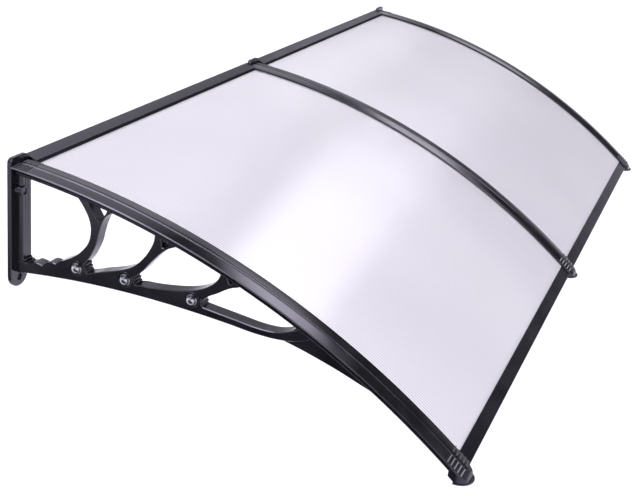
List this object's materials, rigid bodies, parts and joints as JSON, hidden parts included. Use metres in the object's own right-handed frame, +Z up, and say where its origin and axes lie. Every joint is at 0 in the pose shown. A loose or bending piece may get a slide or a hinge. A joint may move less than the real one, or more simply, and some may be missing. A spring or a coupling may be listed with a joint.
{
  "type": "polycarbonate door canopy",
  "caption": "Arched door canopy: opal polycarbonate sheets between black moulded scroll brackets, held down by press bars, with rails along the wall and the front edge.",
  "frame": {"origin": "on the wall plane, at the middle bracket, where the line of the press bars' crown meets the wall", "axes": "X along the wall, -Y out from the wall, Z up"},
  "size_m": [1.996, 0.9213, 0.3625],
  "materials": {
    "black_plastic": "satin black injection moulding",
    "opal_polycarbonate": "glossy, milky, faint flute lines",
    "black_anodised_aluminium": "black anodised, satin",
    "plated_steel": "bright zinc or nickel plate",
    "black_rubber": "matt"
  },
  "bodies": {
    "root": {"bracket_left": "black_plastic", "bracket_middle": "black_plastic", "bracket_right": "black_plastic", "press_bar_left": "black_plastic", "press_bar_middle": "black_plastic", "press_bar_right": "black_plastic", "sheet_left": "opal_polycarbonate", "rear_rail_left": "black_anodised_aluminium", "front_rail_left": "black_anodised_aluminium", "sheet_right": "opal_polycarbonate", "rear_rail_right": "black_anodised_aluminium", "front_rail_right": "black_anodised_aluminium", "gasket_left": "black_rubber", "gasket_middle_left": "black_rubber", "gasket_middle_right": "black_rubber", "gasket_right": "black_rubber", "bolt_left_1": "plated_steel", "washer_left_1": "plated_steel", "nut_left_1": "plated_steel", "bolt_left_2": "plated_steel", "washer_left_2": "plated_steel", "nut_left_2": "plated_steel", "bolt_left_3": "plated_steel", "washer_left_3": "plated_steel", "nut_left_3": "plated_steel", "press_bar_screw_left_1": "plated_steel", "press_bar_screw_left_2": "plated_steel", "press_bar_screw_left_3": "plated_steel", "press_bar_screw_left_4": "plated_steel", "bolt_middle_1": "plated_steel", "washer_middle_1": "plated_steel", "nut_middle_1": "plated_steel", "bolt_middle_2": "plated_steel", "washer_middle_2": "plated_steel", "nut_middle_2": "plated_steel", "bolt_middle_3": "plated_steel", "washer_middle_3": "plated_steel", "nut_middle_3": "plated_steel", "press_bar_screw_middle_1": "plated_steel", "press_bar_screw_middle_2": "plated_steel", "press_bar_screw_middle_3": "plated_steel", "press_bar_screw_middle_4": "plated_steel", "bolt_right_1": "plated_steel", "washer_right_1": "plated_steel", "nut_right_1": "plated_steel", "bolt_right_2": "plated_steel", "washer_right_2": "plated_steel", "nut_right_2": "plated_steel", "bolt_right_3": "plated_steel", "washer_right_3": "plated_steel", "nut_right_3": "plated_steel", "press_bar_screw_right_1": "plated_steel", "press_bar_screw_right_2": "plated_steel", "press_bar_screw_right_3": "plated_steel", "press_bar_screw_right_4": "plated_steel"}
  },
  "joints": []
}
